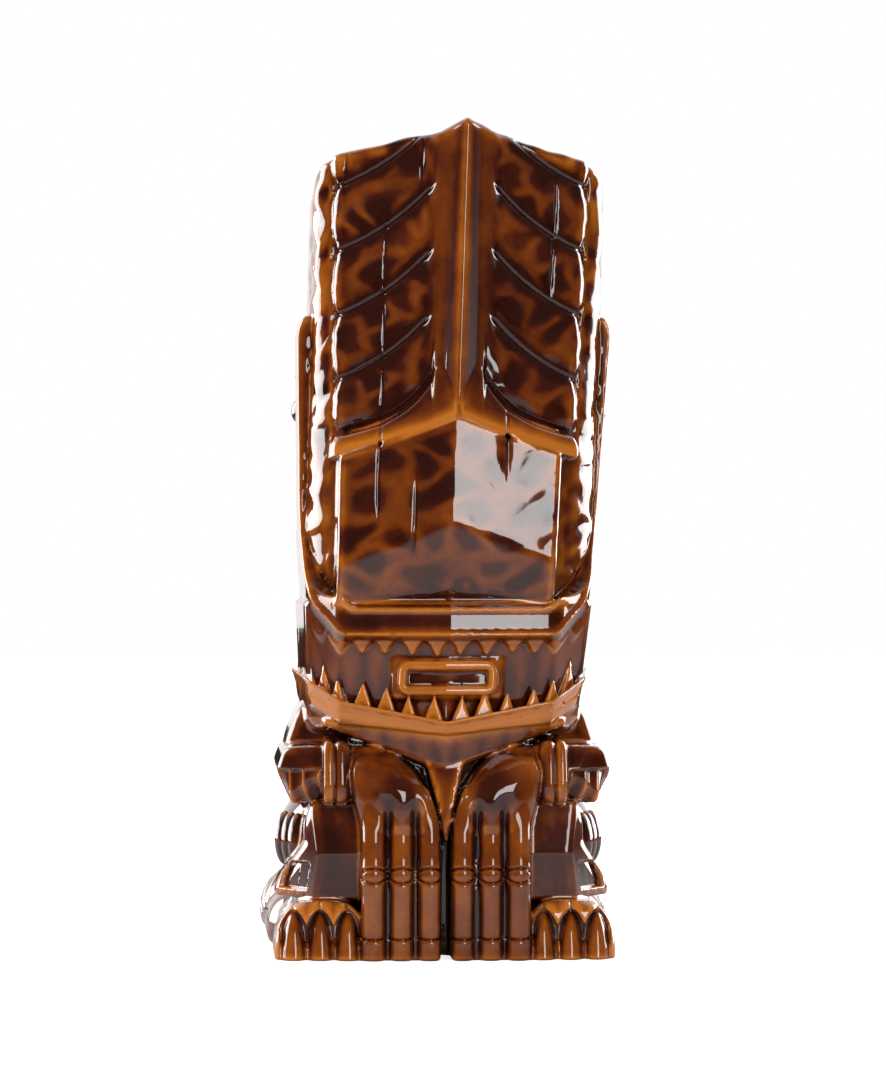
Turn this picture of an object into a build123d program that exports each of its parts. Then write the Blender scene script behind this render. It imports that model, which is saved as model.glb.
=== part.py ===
"""Tall ceramic tiki mug: a squatting figure whose crested head is the cup.

Frame: millimetres, +Z up, the figure faces -Y, and the origin is the middle of the resting
face. "left" and "right" are as seen by someone facing the figure, so left is -X. Depths are
given as "forward" distances, which are -Y. Each sculpted piece is luted face to face onto
the pieces named in its add() call, so no two solids share space.
"""

from build123d import *
import os
from dataclasses import dataclass
from math import atan2, degrees

os.makedirs("parts", exist_ok=True)

# ---- driving dimensions ----
HEIGHT = 200.0  # resting face to the tip of the crest
HALF_WIDTH = 43.5  # middle to the outside of the haunches, the widest place
FRONT = 43.0  # forward reach of the snout, and as far back for the haunches
WALL = 4.0  # cast wall
FLOOR = 6.0  # thickness of the cup's floor
NECK_Z = 52.0  # torso below, head above
BROW_Z = 124.0  # foot of the crest panels
CROWN_LEAN = 4.6  # sideways lean of the crest at its tip
RIM_SIDE_FALL = 0.28  # how fast the rim drops towards the sides, mm per mm
RIM_BACK_FALL = 0.05  # how fast the rim drops towards the back
GROOVE = 0.8  # depth of the carved lines
GROOVE_WIDE = 1.0
FOOT_RECESS = 1.5  # hollow under the base, inside the foot ring

SIDES = (("left", -1), ("right", 1))
made = {}


@dataclass
class Section:
    """One level of the cup's outside. Pairs are (half width, forward)."""

    z: float
    prow: float
    corner: tuple
    side: tuple
    side_back: tuple
    back_corner: tuple
    back: float

    def wire(self, inset=0.0, z=None):
        """The closed outline at this level, moved in by the wall's thickness."""
        half = [
            (0.0, self.prow - inset),
            (self.corner[0] - inset * 0.7, self.corner[1] - inset * 0.9),
            (self.side[0] - inset, self.side[1] - inset * 0.4),
            (self.side_back[0] - inset, self.side_back[1] + inset * 0.4),
            (self.back_corner[0] - inset * 0.7, self.back_corner[1] + inset * 0.9),
            (0.0, self.back + inset),
        ]
        level = self.z if z is None else z
        shift = lean(self.z)
        right = [(x + shift, -forward, level) for x, forward in half]
        left = [(shift - x, -forward, level) for x, forward in reversed(half[1:-1])]
        return Polyline(*right, *left, close=True)


def lean(z):
    """Sideways offset of the crown, which starts at the brow."""
    return CROWN_LEAN * max(0.0, (z - BROW_Z) / (HEIGHT - BROW_Z))


HEAD = [
    Section(NECK_Z, 27, (18, 24), (30, 10), (31, -22), (19, -35), -38),
    Section(57, 34, (24, 30), (32, 14), (32.5, -24), (20, -37), -40),
    Section(84, 34, (24, 29), (32, 14), (33, -24), (20, -38), -41),
    Section(104, 33, (22, 27), (31, 12), (33, -24), (20, -38), -41),
    Section(BROW_Z, 33.5, (25, 24), (32, 10), (33, -24), (20, -38), -41),
    Section(HEIGHT, 29.5, (28, 16.5), (33.5, 6), (34, -24), (20, -37), -40),
]
TORSO = [
    Section(FLOOR, 25, (17, 24), (28, 12), (30, -24), (19, -35), -37),
    Section(NECK_Z, 25, (17, 24), (30, 10), (31, -22), (19, -35), -38),
]


def shell_solid(sections, inset=0.0, low=None, high=None):
    """Solid through the sections; inset gives the cavity, and low and high stretch its ends."""
    faces = []
    for i, section in enumerate(sections):
        z = low if i == 0 and low is not None else None
        z = high if i == len(sections) - 1 and high is not None else z
        faces.append(make_face(section.wire(inset, z)))
    return loft(faces, ruled=True)


def front_prism(outline, back, front):
    """Outline of (x, z) points seen from the front, from one forward distance to another."""
    face = Plane.XZ.offset(back) * make_face(Polyline(*outline, close=True))
    return extrude(face, amount=front - back)


def plan_prism(outline, low, high):
    """Outline of (x, forward) points seen from above, from one level to another."""
    points = [(x, -forward) for x, forward in outline]
    face = Plane.XY.offset(low) * make_face(Polyline(*points, close=True))
    return extrude(face, amount=high - low)


def side_prism(outline, low, high):
    """Outline of (forward, z) points seen from the side, between two x positions."""
    points = [(-forward, z) for forward, z in outline]
    face = Plane.YZ.offset(low) * make_face(Polyline(*points, close=True))
    return extrude(face, amount=high - low)


def both_halves(half):
    """A half outline of (x, value), from the middle outwards, mirrored into a closed one."""
    return list(half) + [(-x, value) for x, value in reversed(half) if x > 0]


def mirrored(points, sign):
    return [(sign * x, value) for x, value in points]


def plan_loft(low_outline, low, high_outline, high):
    """Loft between two plan outlines of (x, forward), each moved sideways by the lean."""
    faces = []
    for outline, z in ((low_outline, low), (high_outline, high)):
        points = [(x + lean(z), -forward, z) for x, forward in outline]
        faces.append(make_face(Polyline(*points, close=True)))
    return loft(faces, ruled=True)


def egg(centre, half_sizes):
    """Ellipsoid at (x, forward, z), as a revolved half ellipse stretched along X."""
    x, forward, z = centre
    return Pos(x, -forward, z) * scale(Sphere(1.0), by=half_sizes)


def pill(centre, sizes, rounding):
    """Box with rounded edges at (x, forward, z)."""
    x, forward, z = centre
    box = Box(*sizes)
    return Pos(x, -forward, z) * fillet(box.edges(), rounding)


def add(name, raw, *neighbours, count=1):
    """Stores a piece, or a group of count, less the neighbours that it is luted onto."""
    cut = raw
    for other in neighbours:
        cut = cut - made[other]
    solids = sorted(cut.solids(), key=lambda solid: solid.volume)[-count:]
    made[name] = solids[0] if count == 1 else Compound(children=solids)


def rim_cutters():
    """Everything above the rim, which falls away from the crest to both sides and the back."""
    top = Pos(lean(HEIGHT), -HEAD[-1].prow - 6, HEIGHT)
    cutters = []
    for _, sign in SIDES:
        normal = (sign * RIM_SIDE_FALL, RIM_BACK_FALL, 1)
        slab = Plane(origin=top.position, z_dir=normal) * Box(
            300, 300, 60, align=(Align.CENTER, Align.CENTER, Align.MIN)
        )
        half = Pos(top.position.X + sign * 75, 0, HEIGHT) * Box(150, 300, 120)
        cutters.append(slab & half)
    return cutters


# ---- the cup: base, torso and head shells ----
def cup():
    head_full = shell_solid(HEAD)
    torso_full = shell_solid(TORSO)
    head = head_full - shell_solid(HEAD, WALL, NECK_Z - 0.01, HEIGHT + 0.01)
    torso = torso_full - shell_solid(TORSO, WALL, FLOOR - 0.01, NECK_Z + 0.01)
    base = plan_prism(both_halves(BASE_HALF), 0, FLOOR)
    recess = plan_prism(both_halves([(x * 0.8, f * 0.8) for x, f in BASE_HALF]), -1, FOOT_RECESS)
    for cutter in rim_cutters():
        head = head - cutter
    made["head_solid"] = head_full
    made["torso_solid"] = torso_full
    made["head_shell"] = head
    made["torso_shell"] = torso
    made["base_slab"] = base - recess


BASE_HALF = [(0, 26), (17, 25), (29, 13), (31, -25), (20, -36), (0, -38)]
CUP = ("head_solid", "torso_solid", "base_slab")


# ---- the crest: two carved panels, the ridge between them and the brow bands ----
RIDGE_HALF = 5.5
PANEL_LOW = [(RIDGE_HALF, 35.2), (28, 27), (25, 20), (RIDGE_HALF, 27)]
PANEL_HIGH = [(RIDGE_HALF, 31.4), (31.2, 19.5), (28, 12), (RIDGE_HALF, 24)]
VEIN_PITCH = 15.3  # between carved veins along the ridge
VEIN_DROP = 17.0  # how far a vein falls on its way out
VEIN_COUNT = 5


def crest():
    cutters = rim_cutters()
    brow_top = [(0, 139), (5.5, 139), (7.5, 134), (12, 130.5), (18, 127.6), (28, 124.5)]
    brow_low = [(28.5, 118), (12, 121.7), (6, 124.5), (0, 127.6)]
    plan = plan_prism([(0, 40.5), (28.2, 30), (28.2, 16), (0, 16)], 110, 145)
    for side, sign in SIDES:
        band = front_prism(mirrored(brow_top + brow_low, sign), 10, 45)
        add(f"brow_{side}", band & (plan if sign > 0 else mirror(plan, Plane.YZ)), *CUP)
    ridge_low = both_halves([(0, 39.6), (2.0, 38.8), (RIDGE_HALF, 35.4), (RIDGE_HALF, 26)])
    ridge_high = both_halves([(0, 35.8), (2.0, 35.0), (RIDGE_HALF, 31.6), (RIDGE_HALF, 22)])
    ridge = plan_loft(ridge_low, BROW_Z, ridge_high, HEIGHT)
    for cutter in cutters:
        ridge = ridge - cutter
    add("crest_ridge", ridge, *CUP, "brow_left", "brow_right")
    for side, sign in SIDES:
        low = mirrored(PANEL_LOW, sign)
        high = mirrored(PANEL_HIGH, sign)
        panel = plan_loft(low, BROW_Z - 4, high, HEIGHT)
        for cutter in cutters:
            panel = panel - cutter
        panel = panel - veins(sign)
        add(f"crest_panel_{side}", panel, *CUP, f"brow_{side}", "crest_ridge")


def veins(sign):
    """Bent lines carved across a crest panel, steep beside the ridge and flatter outside."""
    grooves = []
    outside = PANEL_HIGH[1][0] + 1
    for i in range(VEIN_COUNT):
        start = HEIGHT - 13 - i * VEIN_PITCH
        route = [
            (RIDGE_HALF - 1, start + 1.5),
            (RIDGE_HALF + 7, start - VEIN_DROP * 0.55),
            (outside, start - VEIN_DROP),
        ]
        upper = [(sign * x + lean(z), z + GROOVE_WIDE / 2) for x, z in route]
        lower = [(sign * x + lean(z), z - GROOVE_WIDE / 2) for x, z in reversed(route)]
        grooves.append(front_prism(upper + lower, 10, 45))
    return Compound(children=grooves) & panel_skin(sign)


def panel_skin(sign):
    """The front GROOVE mm of a crest panel, which is as deep as the veins are carved."""
    low = mirrored([(RIDGE_HALF, 35.2 - GROOVE), (28, 27 - GROOVE), (29, 40), (0, 50)], sign)
    high = mirrored(
        [(RIDGE_HALF, 31.4 - GROOVE), (31.2, 19.5 - GROOVE), (33, 40), (0, 50)], sign
    )
    return plan_loft(low, BROW_Z - 4, high, HEIGHT)


# ---- the face: snout, lips, teeth, tongue and chin ----
U_OUTSIDE = [(0, 75.3), (27, 75.3), (35.4, 86), (38, 150), (35, 154)]
U_INSIDE = [(0, 84), (25.5, 84), (30.8, 93), (31.5, 160)]
LOWER_LIP = [(0, 52.5), (25, 56), (40, 64), (40, 70), (26, 60.5), (0, 56.5)]
ELBOW = [(4, 156), (15, 156), (15, 96), (26, 85), (45, 84), (45, 74), (-2, 74), (4, 88)]
FACE_PLAN = [(0, 41), (26.5, 36.5), (36.5, 24), (38.2, 12), (38.2, -6), (0, -6)]
JAW_PLAN = [(0, 40), (25, 36), (35.6, 24), (36.4, 12), (36.4, -6), (0, -6)]
TOOTH_ROW = [(0, 36.5), (25, 33), (34, 22), (34, 8)]  # the line that both rows of teeth stand on
CHEEK_OUT = 36.6
TEETH = 9  # on each side, in each row
TOOTH_HALF = 2.4
SNOUT_PLAN = [(0, FRONT), (25.6, 38.5), (26.8, 30)]
CHIN_PLAN = [(0, 38), (22, 33), (27, 22)]
MOUTH_PLAN = [(0, 35.5), (25, 31.8), (33.2, 21.5), (33.8, 10), (33.8, -5)]  # wall behind the teeth


def face():
    profile = [(20, 84), (35, 84), (FRONT, 102.5), (FRONT, 123), (38, 128), (20, 128)]
    plan = plan_prism(both_halves(SNOUT_PLAN), 80, 130)
    snout = side_prism(profile, -30, 30) & plan
    add("snout", snout, *CUP, "brow_left", "brow_right", "crest_ridge",
        "crest_panel_left", "crest_panel_right")

    face_plan = plan_prism(both_halves(FACE_PLAN), 50, 156)
    u_shape = front_prism(both_halves(U_OUTSIDE), -6, 45) - front_prism(both_halves(U_INSIDE), -7, 46)
    add("upper_lip", u_shape & face_plan & side_prism(ELBOW, -40, 40), *CUP, "snout",
        "crest_panel_left", "crest_panel_right")
    jaw_plan = plan_prism(both_halves(JAW_PLAN), 50, 72)
    add("lower_lip", front_prism(both_halves(LOWER_LIP), -6, 45) & jaw_plan, *CUP)

    mouth = ("upper_lip", "lower_lip", "mouth_back")
    add("mouth_back", plan_prism(both_halves(MOUTH_PLAN), 54, 84), *CUP, "upper_lip", "lower_lip")
    for name, hang in (("upper_teeth", True), ("lower_teeth", False)):
        teeth = [wedge for i in range(TEETH) for wedge in tooth(i, hang)]
        add(name, Compound(children=teeth), *CUP, *mouth, count=2 * TEETH)

    mouth = mouth + ("upper_teeth", "lower_teeth")
    tongue = pill((0, 34.5, 66.5), (25, 8, 11), 2.0)
    add("tongue", tongue, *CUP, *mouth)
    frame_out = pill((0, 37.6, 66.8), (23.2, 4.4, 8.6), 1.6)
    frame_in = Pos(0, -38, 66.8) * Box(18.4, 8, 4.2)
    add("tongue_frame", frame_out - frame_in, *CUP, *mouth, "tongue")

    chin_front = front_prism(both_halves([(0, 44.7), (8, 47), (25, 51), (30, 57), (0, 57)]), 10, 40)
    add("chin", chin_front & plan_prism(both_halves(CHIN_PLAN), 40, 60), *CUP, "lower_lip")

    for side, sign in SIDES:
        cheek = side_prism([(5, 152), (-18, 152), (-24, 140), (-24, 66), (-18, 60), (5, 62)], 28, CHEEK_OUT)
        cheek = cheek if sign > 0 else mirror(cheek, Plane.YZ)
        add(f"cheek_{side}", cheek, *CUP, "upper_lip", "lower_lip", "mouth_back")
        knobs = [egg((sign * 36.6, -3, 140), (2.4, 3, 2.6)), egg((sign * 36.6, -4, 131), (3.2, 4, 3.2))]
        add(f"ear_knobs_{side}", Compound(children=knobs), *CUP, f"cheek_{side}", "upper_lip", count=2)


def tooth(index, hang):
    """A matching pair of wedges, one each side, standing on a lip at an even pitch."""
    ends = [Vector(*point) for point in TOOTH_ROW]
    legs = [b - a for a, b in zip(ends, ends[1:])]
    along = (index + 0.5) / TEETH * sum(leg.length for leg in legs)
    number = 0
    while along > legs[number].length:
        along -= legs[number].length
        number += 1
    spot = ends[number] + legs[number].normalized() * along
    turn = -degrees(atan2(legs[number].Y, legs[number].X))
    root = upper_edge(spot.X) + 1.2 if hang else lower_edge(spot.X) - 1.2
    tip = root - 7.2 if hang else root + 6.6
    outline = [(-TOOTH_HALF, root), (TOOTH_HALF, root), (0, tip)]
    wedge = front_prism(outline, -2.4, 2.4)
    return [Pos(sign * spot.X, -spot.Y, 0) * Rot(0, 0, sign * turn) * wedge for _, sign in SIDES]


def upper_edge(x):
    """Height of the upper lip's lower edge, which turns up at the corners of the mouth."""
    flat_half, low = U_OUTSIDE[1]
    corner_half, high = U_OUTSIDE[2]
    return low + (high - low) * max(0.0, x - flat_half) / (corner_half - flat_half)


def lower_edge(x):
    """Height of the lower lip's upper edge, a shallow V that steepens at the corners."""
    (far, high), (near, middle), (_, low) = LOWER_LIP[3:]
    if x < near:
        return low + (middle - low) * x / near
    return middle + (high - middle) * (x - near) / (far - near)


# ---- the body: shoulders, arms, hands, legs and feet ----
ARM_FLUTES = 4


def body():
    hand_plan = [(0.9, 41), (14, 41.5), (23.5, 36), (23.8, 20), (0.9, 20)]
    hand_side = [(20, 31), (41.5, 31), (41.5, 43), (38, 49.6), (31, 51), (20, 51)]
    wrist_side = [(24, 38.7), (36, 38.7), (37.5, 44), (34, 51.6), (24, 52)]
    fore_front = [(22, 37.5), (38, 37.5), (39.6, 42), (37.5, 48), (31, 50.6), (22, 50.6)]
    fore_side = [(-20, 37.5), (30, 37.5), (33, 42), (32, 50.6), (-16, 50.6), (-22, 46)]
    shin_front = [(20.5, 15), (38.6, 15), (38.6, 19), (36, 27), (29.5, 37.4), (20.5, 37.4)]
    shin_plan = [(20.5, 33.5), (29, 32), (38.6, 20), (38.6, 4), (20.5, 4)]
    thigh_front = [(20, 15), (37, 15), (37.5, 30), (33, 37.4), (20, 37.4)]
    thigh_side = [(4, 15), (4, 37.4), (-20, 37.4), (-34, 28), (-38, 15)]
    shoulder_front = [(20, 50.6), (36.8, 50.6), (36, 58), (31, 62), (20, 62)]
    shoulder_side = [(-22, 50.6), (10, 50.6), (12, 56), (4, 62), (-20, 62)]
    for side, sign in SIDES:
        def place(shape):
            return shape if sign > 0 else mirror(shape, Plane.YZ)

        fingers = [finger(x) for x in FINGER_CENTRES]
        add(f"fingers_{side}", place(Compound(children=fingers)), *CUP, count=3)
        hand = plan_prism(hand_plan, 31, 51) & side_prism(hand_side, 0, 24)
        add(f"hand_{side}", place(hand), *CUP, "chin", f"fingers_{side}")
        wrist = side_prism(wrist_side, 20, 28.6)
        add(f"wrist_{side}", place(wrist), *CUP, f"hand_{side}", "chin")
        arm = front_prism(fore_front, -24, 34) & side_prism(fore_side, 20, 40)
        for i in range(ARM_FLUTES):
            arm = arm - Pos(39.9, 6 - i * 8.0, 40) * Cylinder(1.4, 8)
        add(f"forearm_{side}", place(arm), *CUP, f"wrist_{side}", f"hand_{side}", "chin")
        shoulder = front_prism(shoulder_front, -24, 14) & side_prism(shoulder_side, 18, 38)
        add(f"shoulder_{side}", place(shoulder), *CUP, "chin", "lower_lip", f"cheek_{side}",
            f"forearm_{side}")
        foot = pill((29.7, 22, 7), (20.4, 34, 18), 6.5) & Pos(29.7, -22, 8) * Box(30, 60, 16)
        add(f"foot_{side}", place(foot), *CUP, f"fingers_{side}")
        claws = Compound(children=[claw(i) for i in range(3)])
        add(f"claws_{side}", place(claws), *CUP, f"fingers_{side}", f"foot_{side}", count=3)
        shin = front_prism(shin_front, 0, 36) & plan_prism(shin_plan, 14, 38)
        add(f"shin_{side}", place(shin), *CUP, f"foot_{side}", f"claws_{side}", f"hand_{side}",
            f"fingers_{side}", f"forearm_{side}")
        slats = [Pos(38.2, -(20 - i * 3.2), 21) * Box(2.4, 1.8, 6) for i in range(3)]
        add(f"shin_slats_{side}", place(Compound(children=slats)), *CUP, f"shin_{side}",
            f"foot_{side}", count=3)
        haunch = pill((HALF_WIDTH - 13, 15 - FRONT, 7), (26, 30, 20), 8)
        haunch = haunch & Pos(HALF_WIDTH - 13, FRONT - 15, 8.5) * Box(40, 60, 17)
        add(f"haunch_{side}", place(haunch), *CUP)
        thigh = front_prism(thigh_front, -38, 4) & side_prism(thigh_side, 18, 38)
        add(f"thigh_{side}", place(thigh), *CUP, f"haunch_{side}", f"foot_{side}", f"shin_{side}",
            f"forearm_{side}")
        ribs = [egg((37, -1 - i * 5.5, 28), (2.8, 2.5, 6)) for i in range(3)]
        add(f"calf_ribs_{side}", place(Compound(children=ribs)), *CUP, f"thigh_{side}",
            f"shin_{side}", f"forearm_{side}", count=3)


FINGER_CENTRES = (4.0, 10.4, 16.8)
FINGER_HALF = 2.8


def finger(x):
    """One finger with three knuckle creases, from the table up to the back of the hand."""
    side = [(20, 0), (38.5, 0), (40, 4), (41.6, 20), (41.2, 31), (20, 31)]
    shape = side_prism(side, x - FINGER_HALF, x + FINGER_HALF)
    for z in (4.6, 19.5, 22.5):
        shape = shape - Pos(x, -42.2, z) * Rot(0, 90, 0) * Cylinder(0.9, 8)
    return shape


def claw(index):
    """One pointed-arch claw on the front of a foot."""
    x = 23.2 + index * 6.0
    forward = 40.0 - 0.9 * index
    return egg((x, forward - 2.5, 3.0), (2.5, 3.6, 8.2)) & Pos(x, -forward, 6) * Box(8, 20, 12)


cup()
crest()
face()
body()
for helper in ("head_solid", "torso_solid"):
    made.pop(helper)
for name, shape in made.items():
    export_step(shape, f"parts/{name}.step")
print(len(made), "nodes")
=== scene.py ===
"""Looks of the ceramic tiki mug: every member is carved as a distance field, glazed and lit.

The whole figure is one smooth distance field, in which members meet in soft, glaze-filled creases.
Each piece is the closed share of that field that its own member owns, so neighbouring pieces meet
along the same surface with no gap. Lengths in the fields are millimetres: x to the right, f forward
(which is -Y) and z up. Fields are negative inside.
"""

import math
from concurrent.futures import ThreadPoolExecutor

import bpy
import numpy as np
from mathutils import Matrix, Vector


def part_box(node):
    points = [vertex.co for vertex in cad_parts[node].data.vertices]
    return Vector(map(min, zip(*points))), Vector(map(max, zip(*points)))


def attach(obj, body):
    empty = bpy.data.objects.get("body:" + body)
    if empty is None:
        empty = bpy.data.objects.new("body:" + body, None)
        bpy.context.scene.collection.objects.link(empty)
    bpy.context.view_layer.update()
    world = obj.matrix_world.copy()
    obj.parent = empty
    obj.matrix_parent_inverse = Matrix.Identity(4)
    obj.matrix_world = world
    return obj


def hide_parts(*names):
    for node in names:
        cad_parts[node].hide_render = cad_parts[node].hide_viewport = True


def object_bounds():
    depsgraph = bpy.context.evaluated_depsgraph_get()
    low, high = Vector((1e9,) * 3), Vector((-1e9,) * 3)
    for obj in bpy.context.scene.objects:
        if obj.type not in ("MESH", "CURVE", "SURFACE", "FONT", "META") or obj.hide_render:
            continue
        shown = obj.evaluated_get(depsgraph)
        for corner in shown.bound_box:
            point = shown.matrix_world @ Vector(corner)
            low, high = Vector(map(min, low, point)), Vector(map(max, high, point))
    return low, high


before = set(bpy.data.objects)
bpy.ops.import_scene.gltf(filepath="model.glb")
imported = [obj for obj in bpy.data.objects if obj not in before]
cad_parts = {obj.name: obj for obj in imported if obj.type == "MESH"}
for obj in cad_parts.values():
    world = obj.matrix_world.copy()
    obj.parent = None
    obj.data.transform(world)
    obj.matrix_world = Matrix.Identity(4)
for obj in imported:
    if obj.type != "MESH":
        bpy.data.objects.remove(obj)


def save_size():
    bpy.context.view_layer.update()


save_size()

# ---- named values ----
CREASE = 0.8  # how softly two members run into each other
OVERLAP = 0.7  # how far a piece runs on under its neighbour
WALL = 4.0  # thickness of the cast cup
LINING = 1.5  # thickness of the cup's inner skin, which belongs to the cup's own pieces
MARGIN = 2.5  # room around a shape in its piece's box
REACH = 2.5  # how far outside its box a member still matters
CARVED = 2.5  # how far from a member's own surface its carving counts
SKIN = 3.0  # how far from its own surface a piece is worked out in full
PROBE, PROBE_HIT = 2.0, 1.4  # spacing of the grid that finds a shape's box, and field value of a hit
FAR = 9.0  # field value where there is nothing
CLEAR = 5.0  # size of the value in cells that no surface crosses
PULL = 0.3  # most that a vertex moves in one step
SEED = 7
RIDGE_HALF = 6.2
BROW_SWEEP = 14.0  # how far the brow's upper edge climbs to the ridge


class Box:
    """A CAD node's box in the fields' millimetres."""

    def __init__(self, node):
        low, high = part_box(node)
        self.x0, self.x1 = low.x * 1000, high.x * 1000
        self.f0, self.f1 = -high.y * 1000, -low.y * 1000
        self.z0, self.z1 = low.z * 1000, high.z * 1000
        self.wide = max(abs(self.x0), abs(self.x1))


BOX = {node: Box(node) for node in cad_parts}
HEIGHT = BOX["crest_ridge"].z1
BROW = BOX["crest_panel_left"].z0 + 4.0
NECK = BOX["torso_shell"].z1
LEAN = BOX["crest_ridge"].x1 + BOX["crest_ridge"].x0  # of the crown's tip to the right


# ---- field tools ----
def smax(a, b, k):
    """Greater of two fields, with the edge between them rounded over k."""
    near = np.maximum(k - np.abs(a - b), 0.0) / k
    return np.maximum(a, b) + near * near * k * 0.25


def smin(a, b, k):
    return -smax(-a, -b, k)


def all_of(k, *fields):
    """What is inside every field."""
    result = fields[0]
    for field in fields[1:]:
        result = smax(result, field, k)
    return result


def any_of(k, *fields):
    """What is inside any field."""
    result = fields[0]
    for field in fields[1:]:
        result = smin(result, field, k)
    return result


def convex(u, v, outline, k):
    """Convex outline, its corners anticlockwise, rounded over k."""
    sides = []
    for (u0, v0), (u1, v1) in zip(outline, outline[1:] + outline[:1]):
        length = math.hypot(u1 - u0, v1 - v0)
        sides.append(((u - u0) * (v1 - v0) - (v - v0) * (u1 - u0)) / length)
    return all_of(k, *sides)


def slab(u, low, high, k=0.01):
    return smax(low - u, u - high, k)


def ellipsoid(x, f, z, centre, radii):
    """Close to the distance from an ellipsoid."""
    parts = [(c - m) for c, m in zip((x, f, z), centre)]
    inner = np.sqrt(sum((p / r) ** 2 for p, r in zip(parts, radii)))
    outer = np.sqrt(sum((p / (r * r)) ** 2 for p, r in zip(parts, radii)))
    return inner * (inner - 1.0) / np.maximum(outer, 1e-6)


def mixed(t, low, high):
    return low + (high - low) * t


def notch(distance, width, depth):
    """Depth of a carved line at a distance from its middle."""
    return depth * np.exp(-((distance / width) ** 2))


def fade(value, low, high):
    """0 below low, 1 above high, smooth between."""
    t = np.clip((value - low) / (high - low), 0.0, 1.0)
    return t * t * (3.0 - 2.0 * t)


def rise(z):
    """0 at the brow and 1 at the top of the crest."""
    return np.clip((z - BROW) / (HEIGHT - BROW), 0.0, 1.0)


def straight(x, z):
    """x measured from the head's middle line, which leans from the neck up."""
    return x - LEAN * np.clip((z - NECK) / (HEIGHT - NECK), 0.0, 1.0)


# ---- the cup ----
def head(x, f, z):
    b = BOX["head_shell"]
    t = rise(z)
    u = straight(x, z)
    a = np.abs(u)
    back = -b.f0
    sides = all_of(
        4.0,
        np.abs(u + 0.5 * t) - 33.0 - 2.4 * fade(z, 86, 100) + 1.9 * fade(z, 180, 196),
        -f - back,
        0.733 * a - 0.680 * f - (back - 0.5),
        0.780 * a + 0.626 * f - mixed(t, 38.2, 37.2),
    )
    prow = mixed(t, 0.342, 0.421) * a + mixed(t, 0.939, 0.907) * f - mixed(t, 33.2, 26.6)
    return all_of(4.0, smax(sides, prow, 2.0), b.z0 + 1.5 - z)


def lower_corners(a, f, out=0.0):
    """Front and back chamfers of the lower cup, moved out by out."""
    return 0.733 * a + 0.681 * f - 28.8 - out, 0.735 * a - 0.678 * f - 37.7 - out


def torso(x, f, z):
    b = BOX["torso_shell"]
    a = np.abs(x)
    front, back = lower_corners(a, f)
    body = all_of(4.0, a - (b.wide - 0.6), f - b.f1, front, back, b.f0 - f, z - b.z1 - 5.0, 2.0 - z)
    keel_front = f - 38.6 + 0.40 * np.maximum(z - 36.0, 0)
    keel = all_of(0.8, 0.97 * a - 0.22 * (z - 27.0), keel_front, 20.0 - f, z - 47.0)
    return smin(body, keel, 0.5)


def base(x, f, z):
    b = BOX["base_slab"]
    a = np.abs(x)
    foot = all_of(
        2.0,
        a - (b.wide - 0.2),
        f - b.f1 + 1,
        0.733 * a + 0.681 * f - 29.4,
        0.735 * a - 0.678 * f - 38.4,
        b.f0 - f,
        z - b.z1 - 1,
        -z,
    )
    hollow = all_of(3.0, np.hypot(x, (f + 6.0) * 0.9) - 22.0, z - 1.5)
    return smax(foot, -hollow, 1.0)


def cavity(x, f, z):
    """The drink's space: the cup's outside moved in by the wall."""
    b = BOX["torso_shell"]
    upper = head(x, f, z) + WALL
    a = np.abs(x)
    front, back = lower_corners(a, f, -WALL)
    lower = all_of(3.0, a - (b.wide - WALL), front, f - b.f1 + WALL, back, b.f0 + WALL - f,
                   BOX["base_slab"].z1 + 1 - z, z - NECK - 8.0)
    return smin(upper, lower, 4.0)


def rim(x, f, z):
    """Above the rim, which climbs to the crest and falls to the sides and the back."""
    u = straight(x, z)
    a = np.abs(u)
    slope = np.where(u > 0, 0.255, 0.175)
    peak = 0.42 * mixed(fade(f, 0.0, 20.0), RIDGE_HALF, np.minimum(a, RIDGE_HALF))
    level = HEIGHT - peak - slope * np.maximum(a - RIDGE_HALF, 0)
    level = level - 0.05 * np.maximum(36.0 - f, 0) - 5.0 * fade(19.0 - f, 0.0, 24.0)
    ripple = 0.22 * np.sin(0.31 * x + 0.17 * f) + 0.12 * np.sin(0.8 * x - 0.4 * f)
    return (z - level - ripple) * 0.95


# ---- the crest ----
def panel(side):
    b = BOX["crest_panel_left"]

    def shape(x, f, z):
        t = rise(z)
        u = side * straight(x, z)
        across, forward = mixed(t, 0.342, 0.420), mixed(t, 0.939, 0.908)
        face = across * u + forward * f - mixed(t, 35.0, 30.9)
        edge = mixed(t, 29.0, 31.2 - 0.5 * side)
        return all_of(1.6, face, u - edge, -face - 10.0, -u - 0.5, b.z0 - z)

    return shape


def ridge(x, f, z):
    """Keel with hollow flanks that flare into the brow, cut off by a small facet above the nose."""
    t = rise(z)
    a = np.abs(straight(x, z))
    share = np.minimum(np.sqrt(a * a + 1.2), RIDGE_HALF) / RIDGE_HALF
    crest = mixed(t, 42.3, 37.0)
    flank = (f - crest + mixed(t, 8.0, 6.4) * share ** 0.85 + 0.28 * np.maximum(a - RIDGE_HALF, 0)) * 0.74
    flare = np.log(np.maximum(z - BROW - 0.6, 0.05) / BROW_SWEEP)
    half = np.clip(4.0 - 6.0 * flare, RIDGE_HALF + 0.2, 14.0)
    facet = 0.78 * (f - 42.3) - 0.62 * (z - BROW - 6.0)
    return all_of(0.9, smax(flank, facet, 0.7), (a - half) * 0.8, 22.0 - f, brow_low(a) + 1.0 - z)


def brow_top(a):
    """Upper edge of the brow, which sweeps up into the ridge."""
    return BROW + 0.6 + BROW_SWEEP * np.exp(-np.maximum(a - 4.0, 0) / 6.0) - 0.2 * np.maximum(a - 6.0, 0)


def brow_low(a):
    """Lower rim of the brow."""
    return BROW - 0.41 * a + 0.0028 * a * a


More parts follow.
